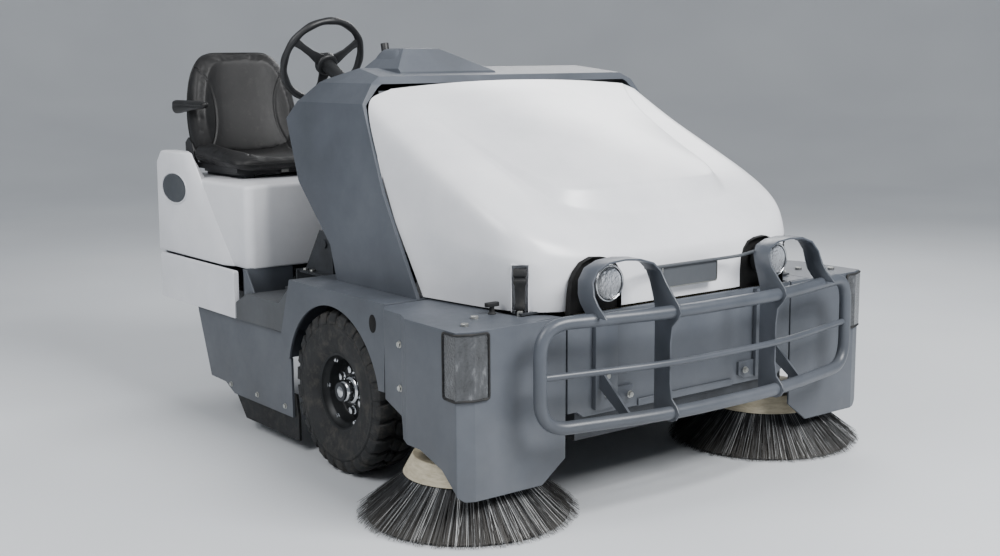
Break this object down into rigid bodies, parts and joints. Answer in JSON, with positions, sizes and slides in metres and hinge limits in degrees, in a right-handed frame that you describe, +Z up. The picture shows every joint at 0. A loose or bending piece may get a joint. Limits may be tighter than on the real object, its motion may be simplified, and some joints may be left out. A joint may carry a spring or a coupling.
{
  "type": "ride on sweeper",
  "caption": "Ride-on floor sweeper: lifting front hopper under a rounded hood, bowed tube guard, side brooms, cylindrical main broom, rear-steered wheel and offset seat.",
  "frame": {"origin": "middle of the machine's box, on the floor", "axes": "+Z up, -Y to the front of the machine, +X to the machine's left"},
  "size_m": [1.944, 2.355, 1.463],
  "materials": {
    "chassis_steel": "satin black paint",
    "body_grey": "semi-gloss blue-grey paint",
    "white_paint": "semi-gloss white paint",
    "white_shell": "glossy white moulding",
    "guard_paint": "satin dark grey paint",
    "rim_steel": "black painted steel",
    "lamp_lens": "smoked lens",
    "clear_lens": "clear lens",
    "black_plastic": "matte black plastic",
    "floor_grey": "grey painted tread plate",
    "engine_iron": "cast iron",
    "tank_plastic": "moulded tank",
    "rubber": "black rubber",
    "tyre_rubber": "tyre rubber",
    "zinc_bolts": "zinc plated",
    "filter_paper": "pleated filter paper",
    "beige_plastic": "beige plastic",
    "bristles": "dark nylon bristles",
    "seat_vinyl": "black vinyl"
  },
  "bodies": {
    "chassis": {"main_frame": "chassis_steel", "fender_right": "body_grey", "fender_left": "body_grey", "corner_cover_right": "body_grey", "corner_cover_left": "body_grey", "corner_lamps": "lamp_lens", "cowl": "body_grey", "dash_panel": "black_plastic", "steering_column": "black_plastic", "operator_floor": "floor_grey", "rear_bumper": "white_paint", "engine": "engine_iron", "fuel_tank": "tank_plastic", "broom_skirts": "rubber", "chassis_bolts": "zinc_bolts", "control_brackets": "chassis_steel"},
    "lift_arms": {"lift_arms": "chassis_steel"},
    "hopper": {"hopper_bin": "chassis_steel", "front_panel": "body_grey", "bumper_guard": "guard_paint", "guard_straps": "guard_paint", "nameplate": "black_plastic", "headlight_buckets": "black_plastic", "headlight_lenses": "clear_lens", "panel_filter": "filter_paper", "hopper_bolts": "zinc_bolts"},
    "hood": {"hood": "white_shell"},
    "dump_door": {"dump_door": "chassis_steel"},
    "latch_right": {"latch_right": "rubber"},
    "latch_left": {"latch_left": "rubber"},
    "front_wheel_right": {"front_tyre_right": "tyre_rubber", "front_rim_right": "rim_steel"},
    "front_wheel_left": {"front_tyre_left": "tyre_rubber", "front_rim_left": "rim_steel"},
    "rear_yoke": {"rear_yoke": "chassis_steel"},
    "rear_wheel": {"rear_tyre": "tyre_rubber", "rear_rim": "rim_steel"},
    "side_broom_arm_right": {"side_broom_arm_right": "chassis_steel"},
    "side_broom_arm_left": {"side_broom_arm_left": "chassis_steel"},
    "side_broom_right": {"side_broom_disc_right": "beige_plastic", "side_broom_bristles_right": "bristles"},
    "side_broom_left": {"side_broom_disc_left": "beige_plastic", "side_broom_bristles_left": "bristles"},
    "main_broom_frame": {"main_broom_frame": "chassis_steel"},
    "main_broom": {"main_broom_core": "beige_plastic", "main_broom_bristles": "bristles"},
    "engine_cover": {"engine_cover": "white_shell", "seat_slide": "chassis_steel"},
    "seat": {"seat_pan": "black_plastic", "seat_cushion": "seat_vinyl"},
    "seat_back": {"seat_back": "seat_vinyl"},
    "armrest": {"armrest": "seat_vinyl"},
    "steering_wheel": {"steering_wheel": "black_plastic"},
    "horn_button": {"horn_button": "black_plastic"},
    "drive_pedal": {"drive_pedal": "chassis_steel"},
    "brake_pedal": {"brake_pedal": "chassis_steel"},
    "control_lever": {"control_lever": "black_plastic"},
    "park_brake_lever": {"park_brake_lever": "black_plastic"},
    "door_right": {"door_right": "body_grey"},
    "door_left": {"door_left": "body_grey"}
  },
  "joints": [
    {"name": "hopper_lift", "type": "hinge", "parent": "chassis", "child": "lift_arms", "pos_m": [0, 0.1675, 0.695], "axis": [-1, 0, 0], "range_deg": [0, 60]},
    {"name": "hopper_level", "type": "hinge", "parent": "lift_arms", "child": "hopper", "pos_m": [0, -0.7275, 0.42], "axis": [-1, 0, 0], "range_deg": [-60, 0]},
    {"name": "hood_open", "type": "hinge", "parent": "hopper", "child": "hood", "pos_m": [0, -0.1575, 1.2], "axis": [-1, 0, 0], "range_deg": [0, 35]},
    {"name": "dump_door_swing", "type": "hinge", "parent": "hopper", "child": "dump_door", "pos_m": [0, -0.5235, 0.422], "axis": [-1, 0, 0], "range_deg": [0, 75]},
    {"name": "front_wheel_right_spin", "type": "hinge", "parent": "chassis", "child": "front_wheel_right", "pos_m": [-0.6675, -0.1675, 0.266], "axis": [1, 0, 0], "continuous": true},
    {"name": "side_broom_right_raise", "type": "hinge", "parent": "chassis", "child": "side_broom_arm_right", "pos_m": [-0.6, -0.5025, 0.33], "axis": [-1, 0, 0], "range_deg": [0, 4]},
    {"name": "side_broom_right_spin", "type": "hinge", "parent": "side_broom_arm_right", "child": "side_broom_right", "pos_m": [-0.64, -0.7325, 0.165], "axis": [0, 0, 1], "continuous": true},
    {"name": "latch_right_swing", "type": "hinge", "parent": "hopper", "child": "latch_right", "pos_m": [-0.5534, -0.874, 0.622], "axis": [0.7683, -0.6401, 0], "range_deg": [0, 90]},
    {"name": "door_right_swing", "type": "hinge", "parent": "chassis", "child": "door_right", "pos_m": [-0.727, 0.7688, 0.3], "axis": [0, 0, -1], "range_deg": [0, 100]},
    {"name": "front_wheel_left_spin", "type": "hinge", "parent": "chassis", "child": "front_wheel_left", "pos_m": [0.6675, -0.1675, 0.266], "axis": [1, 0, 0], "continuous": true},
    {"name": "side_broom_left_raise", "type": "hinge", "parent": "chassis", "child": "side_broom_arm_left", "pos_m": [0.6, -0.5025, 0.33], "axis": [-1, 0, 0], "range_deg": [0, 4]},
    {"name": "side_broom_left_spin", "type": "hinge", "parent": "side_broom_arm_left", "child": "side_broom_left", "pos_m": [0.64, -0.7325, 0.165], "axis": [0, 0, 1], "continuous": true},
    {"name": "latch_left_swing", "type": "hinge", "parent": "hopper", "child": "latch_left", "pos_m": [0.5534, -0.874, 0.622], "axis": [0.7683, 0.6401, 0], "range_deg": [0, 90]},
    {"name": "door_left_swing", "type": "hinge", "parent": "chassis", "child": "door_left", "pos_m": [0.727, 0.7688, 0.3], "axis": [0, 0, 1], "range_deg": [0, 100]},
    {"name": "rear_steer", "type": "hinge", "parent": "chassis", "child": "rear_yoke", "pos_m": [0, 0.8825, 0.5], "axis": [0, 0, 1], "range_deg": [-60, 60]},
    {"name": "rear_wheel_spin", "type": "hinge", "parent": "rear_yoke", "child": "rear_wheel", "pos_m": [0, 0.8825, 0.235], "axis": [1, 0, 0], "continuous": true},
    {"name": "steering_wheel_turn", "type": "hinge", "parent": "chassis", "child": "steering_wheel", "pos_m": [-0.39, 0.4705, 1.313], "axis": [0, 0.89, 0.456], "range_deg": [-540, 540]},
    {"name": "horn_press", "type": "slide", "parent": "steering_wheel", "child": "horn_button", "axis": [0, -0.89, -0.456], "range_m": [0, 0.0025], "stiffness_N_per_m": 300, "springref_m": -0.002},
    {"name": "main_broom_raise", "type": "hinge", "parent": "chassis", "child": "main_broom_frame", "pos_m": [0, 0.4125, 0.39], "axis": [-1, 0, 0], "range_deg": [0, 10]},
    {"name": "main_broom_spin", "type": "hinge", "parent": "main_broom_frame", "child": "main_broom", "pos_m": [0, 0.2325, 0.161], "axis": [1, 0, 0], "continuous": true},
    {"name": "engine_cover_tilt", "type": "hinge", "parent": "chassis", "child": "engine_cover", "pos_m": [0, 1.1665, 0.596], "axis": [-1, 0, 0], "range_deg": [0, 60]},
    {"name": "seat_adjust", "type": "slide", "parent": "engine_cover", "child": "seat", "axis": [0, 1, 0], "range_m": [-0.075, 0.025]},
    {"name": "seat_recline", "type": "hinge", "parent": "seat", "child": "seat_back", "pos_m": [-0.4, 1.0785, 0.992], "axis": [1, 0, 0], "range_deg": [-15, 15]},
    {"name": "armrest_flip", "type": "hinge", "parent": "seat_back", "child": "armrest", "pos_m": [-0.665, 1.1175, 1.146], "axis": [-1, 0, 0], "range_deg": [0, 90]},
    {"name": "drive_pedal_press", "type": "hinge", "parent": "chassis", "child": "drive_pedal", "pos_m": [-0.33, -0.1275, 0.532], "axis": [1, 0, 0], "range_deg": [0, 25], "stiffness_Nm_per_rad": 8, "springref_deg": -22.92},
    {"name": "brake_pedal_press", "type": "hinge", "parent": "chassis", "child": "brake_pedal", "pos_m": [-0.46, -0.1075, 0.532], "axis": [1, 0, 0], "range_deg": [0, 25], "stiffness_Nm_per_rad": 8, "springref_deg": -22.92},
    {"name": "control_lever_tilt", "type": "hinge", "parent": "chassis", "child": "control_lever", "pos_m": [-0.281, 0.2065, 1.268], "axis": [1, 0, 0], "range_deg": [-20, 20]},
    {"name": "park_brake_pull", "type": "hinge", "parent": "chassis", "child": "park_brake_lever", "pos_m": [-0.09, 0.1325, 0.532], "axis": [-1, 0, 0], "range_deg": [0, 30]}
  ],
  "couplings": [
    {"joint": "hopper_level", "follows": "hopper_lift", "ratio": -1},
    {"joint": "steering_wheel_turn", "follows": "rear_steer", "ratio": -9}
  ]
}
